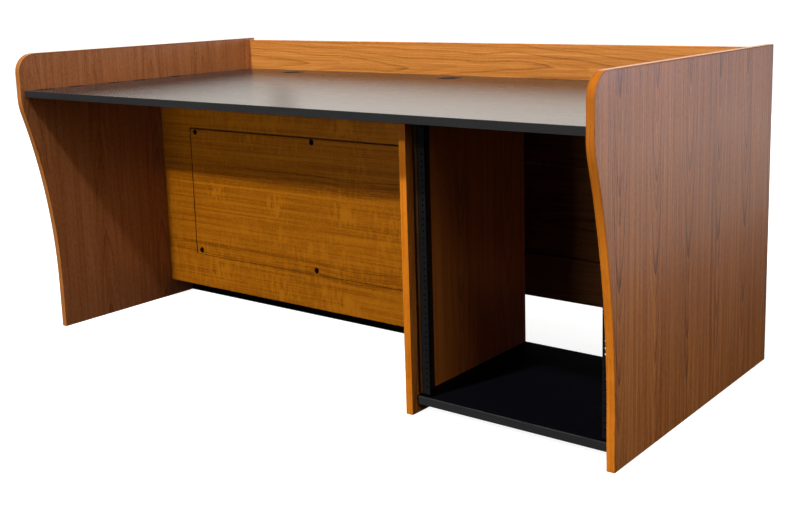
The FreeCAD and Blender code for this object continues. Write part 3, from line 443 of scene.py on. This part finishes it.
# --------------------------------------------------------------------- the stage
floor_mesh = bpy.data.meshes.new("floor")
floor_mesh.from_pydata([(-150, -150, 0), (150, -150, 0), (150, 150, 0), (-150, 150, 0)], [], [(0, 1, 2, 3)])
floor = bpy.data.objects.new("floor", floor_mesh)
scene.collection.objects.link(floor)
pale = Graph("pale_floor")
mottle = pale.noise(pale.x * 3.0, pale.y * 3.0, 0.0, detail=3.0)
reach = (pale.x * pale.x + pale.y * pale.y).sqrt()
pale.finish(pale.ramp(mottle, [(0.3, (0.30, 0.30, 0.30)), (0.7, (0.33, 0.33, 0.33))]), 0.8, specular=0.0)
pale.shader.inputs["Emission Color"].default_value = (1.0, 1.0, 1.0, 1.0)
pale.put(pale.shader.inputs["Emission Strength"], pale.step(reach, 1.2, 4.5, 0.91, 1.05))
floor_mesh.materials.append(pale.mat)
floor.visible_diffuse = False
floor.visible_glossy = False

# a white surround behind the object, and a dim one for it to be lit by
world = bpy.data.worlds.new("studio")
scene.world = world
world.use_nodes = True
sky = world.node_tree
sky.nodes.clear()
sky_out = sky.nodes.new("ShaderNodeOutputWorld")
sky_seen = sky.nodes.new("ShaderNodeBackground")
sky_fill = sky.nodes.new("ShaderNodeBackground")
sky_fill.name = "sky_fill"
sky_fill.inputs["Strength"].default_value = 0.06
sky_seen.inputs["Color"].default_value = (1.0, 1.0, 1.0, 1.0)
sky_seen.inputs["Strength"].default_value = 1.05
sky_where = sky.nodes.new("ShaderNodeTexCoord")
sky_split = sky.nodes.new("ShaderNodeSeparateXYZ")
sky_ramp = sky.nodes.new("ShaderNodeValToRGB")
sky_ramp.color_ramp.elements[0].position = 0.0
sky_ramp.color_ramp.elements[0].color = (0.2, 0.2, 0.2, 1.0)
sky_ramp.color_ramp.elements[1].position = 0.15
sky_ramp.color_ramp.elements[1].color = (1.0, 1.0, 1.0, 1.0)
sky_path = sky.nodes.new("ShaderNodeLightPath")
sky_mix = sky.nodes.new("ShaderNodeMixShader")
sky.links.new(sky_where.outputs["Generated"], sky_split.inputs[0])
sky.links.new(sky_split.outputs[2], sky_ramp.inputs[0])
sky.links.new(sky_ramp.outputs[0], sky_fill.inputs["Color"])
sky.links.new(sky_path.outputs["Is Camera Ray"], sky_mix.inputs[0])
sky.links.new(sky_fill.outputs[0], sky_mix.inputs[1])
sky.links.new(sky_seen.outputs[0], sky_mix.inputs[2])
sky.links.new(sky_mix.outputs[0], sky_out.inputs["Surface"])


def lamp(name, at, aim, size, size_y, power, colour=(1.0, 1.0, 1.0)):
    data = bpy.data.lights.new(name, "AREA")
    data.shape = "RECTANGLE"
    data.size, data.size_y = size, size_y
    data.energy = power
    data.color = colour
    o = bpy.data.objects.new(name, data)
    scene.collection.objects.link(o)
    o.location = at
    o.rotation_mode = "QUATERNION"
    o.rotation_quaternion = (Vector(aim) - Vector(at)).to_track_quat("-Z", "Y")
    o.visible_camera = False
    return o


lamp("side", (3.0, -0.62, 1.6), (0.93, -0.05, 0.5), 2.0, 1.6, 50.5)
lamp("top", (0.85, 0.1, 3.2), (-0.5, 0.0, 0.7), 1.6, 1.6, 20.0)
lamp("wall", (-2.4, 5.5, 2.2), (-2.4, 0.0, 1.2), 6.6, 4.0, 127.0, (1.0, 0.945, 0.86))
# light from the front, the left and behind, kept out of reflections
for soft in (lamp("key", (-0.55, -3.70, 5.64), (-0.1, -0.2, 0.6), 0.32, 0.32, 700.0),
             lamp("low_front", (-1.05, -5.5, 3.67), (-0.2, 0.0, 0.5), 0.32, 0.32, 285.0),
             lamp("fill", (-0.75, -5.2, 0.95), (-0.75, 0.0, 0.6), 3.3, 1.6, 85.0),
             lamp("left_side", (-5.6, 1.4, 2.0), (-0.93, 0.0, 0.45), 3.0, 2.4, 85.0),
             lamp("back", (1.6, 5.6, 2.3), (0.3, 0.46, 0.45), 3.4, 2.2, 75.0)):
    soft.visible_glossy = False
# pale cards out of view that the worktop and the right-hand end mirror softly
for card in (lamp("card_left", (-7.5, 3.2, 2.2), (0.0, 0.0, 1.2), 6.0, 4.0, 108.0, (1.0, 0.945, 0.86)),
             lamp("card_far", (9.4, 11.0, 0.02), (9.4, 11.0, 5.0), 13.6, 18.0, 540.0),
             lamp("card_near", (2.6, 2.6, 0.02), (2.6, 2.6, 5.0), 2.0, 6.0, 26.0),
             lamp("card_wall", (6.2, 7.4, 0.9), (0.93, -0.4, 0.8), 2.2, 1.8, 66.0, (0.84, 0.90, 1.22))):
    card.visible_diffuse = False

scene.view_settings.view_transform = "Standard"
scene.view_settings.look = "None"
scene.view_settings.exposure = 0.0
scene.view_settings.gamma = 1.0

# -------------------------------------------------------------------- the camera
yaw, pitch, roll = -0.6462475731, -0.1732059240, -0.0238936398
focal, centre_x, centre_y = 1110.3289, 433.3119, 180.1792
ahead = Vector((math.sin(yaw) * math.cos(pitch), math.cos(yaw) * math.cos(pitch), math.sin(pitch)))
side = Vector((math.cos(yaw), -math.sin(yaw), 0.0))
over = side.cross(ahead)
side_r = side * math.cos(roll) + over * math.sin(roll)
over_r = over * math.cos(roll) - side * math.sin(roll)
lens = bpy.data.cameras.new("camera")
lens.sensor_fit = "HORIZONTAL"
lens.sensor_width = 36.0
lens.lens = focal * 36.0 / 800.0
lens.shift_x = -(centre_x - 400.0) / 800.0
lens.shift_y = (centre_y - 256.0) / 800.0
lens.clip_end = 500.0
camera = bpy.data.objects.new("camera", lens)
scene.collection.objects.link(camera)
camera.matrix_world = Matrix((
    (side_r.x, over_r.x, -ahead.x, 1.930456),
    (side_r.y, over_r.y, -ahead.y, -2.288159),
    (side_r.z, over_r.z, -ahead.z, 0.988660),
    (0.0, 0.0, 0.0, 1.0),
))
scene.camera = camera
